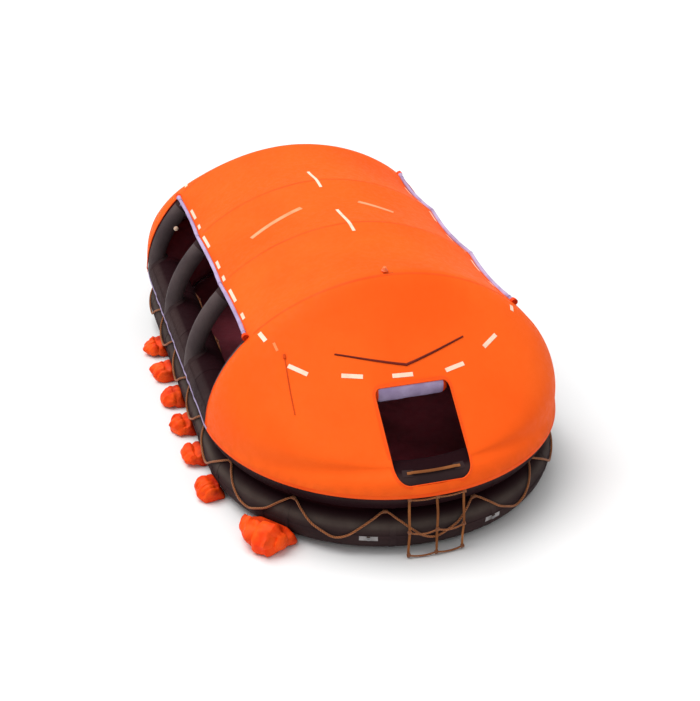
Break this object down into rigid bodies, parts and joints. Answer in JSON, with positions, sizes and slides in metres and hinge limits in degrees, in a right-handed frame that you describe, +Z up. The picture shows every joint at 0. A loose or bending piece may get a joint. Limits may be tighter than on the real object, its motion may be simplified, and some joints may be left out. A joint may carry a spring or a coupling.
{
  "type": "inflatable life raft",
  "caption": "Covered inflatable life raft with two stacked tubes, arched orange canopy, side openings, end doors, ladders and water pockets.",
  "frame": {"origin": "middle of the raft on the floor that its lower tube and floor panel stand on", "axes": "+Y along the raft's length, with the pictured end towards -Y, +X to the right of a viewer at that end, +Z up"},
  "size_m": [4.8212, 8.3158, 2.6006],
  "materials": {
    "tube_rubber": "matte coated fabric",
    "floor_fabric": "matte coated fabric",
    "arch_fabric": "matte coated fabric",
    "canopy_fabric": "orange proofed cloth",
    "curtain_lining": "pale lining cloth",
    "pocket_fabric": "thin orange cloth",
    "rope": "braided rope",
    "patch_rubber": "matte rubber",
    "lamp_plastic": "moulded plastic"
  },
  "bodies": {
    "root": {"arch_1": "arch_fabric", "arch_2": "arch_fabric", "arch_3": "arch_fabric", "arch_4": "arch_fabric", "boarding_ladder_back": "rope", "boarding_ladder_front": "rope", "buoyancy_tube_lower": "tube_rubber", "buoyancy_tube_upper": "tube_rubber", "canopy_back_left": "canopy_fabric", "canopy_back_right": "canopy_fabric", "canopy_front_left": "canopy_fabric", "canopy_front_right": "canopy_fabric", "canopy_lamp": "lamp_plastic", "canopy_roof": "canopy_fabric", "door_curtain_back": "curtain_lining", "door_curtain_front": "curtain_lining", "floor_panel": "floor_fabric", "lifeline_inner": "rope", "lifeline_outer": "rope", "side_curtain_left": "curtain_lining", "side_curtain_right": "curtain_lining", "side_hem_left": "curtain_lining", "side_hem_right": "curtain_lining", "sill_strap_back": "rope", "sill_strap_front": "rope", "tow_patch_back_left": "patch_rubber", "tow_patch_back_right": "patch_rubber", "tow_patch_front_left": "patch_rubber", "tow_patch_front_right": "patch_rubber", "water_pocket_corner_back_right": "pocket_fabric", "water_pocket_corner_front_left": "pocket_fabric", "water_pocket_left_1": "pocket_fabric", "water_pocket_left_2": "pocket_fabric", "water_pocket_left_3": "pocket_fabric", "water_pocket_left_4": "pocket_fabric", "water_pocket_left_5": "pocket_fabric", "water_pocket_right_1": "pocket_fabric", "water_pocket_right_2": "pocket_fabric", "water_pocket_right_3": "pocket_fabric", "water_pocket_right_4": "pocket_fabric", "water_pocket_right_5": "pocket_fabric", "water_pocket_shoulder_back_right": "pocket_fabric", "water_pocket_shoulder_front_left": "pocket_fabric"}
  },
  "joints": []
}
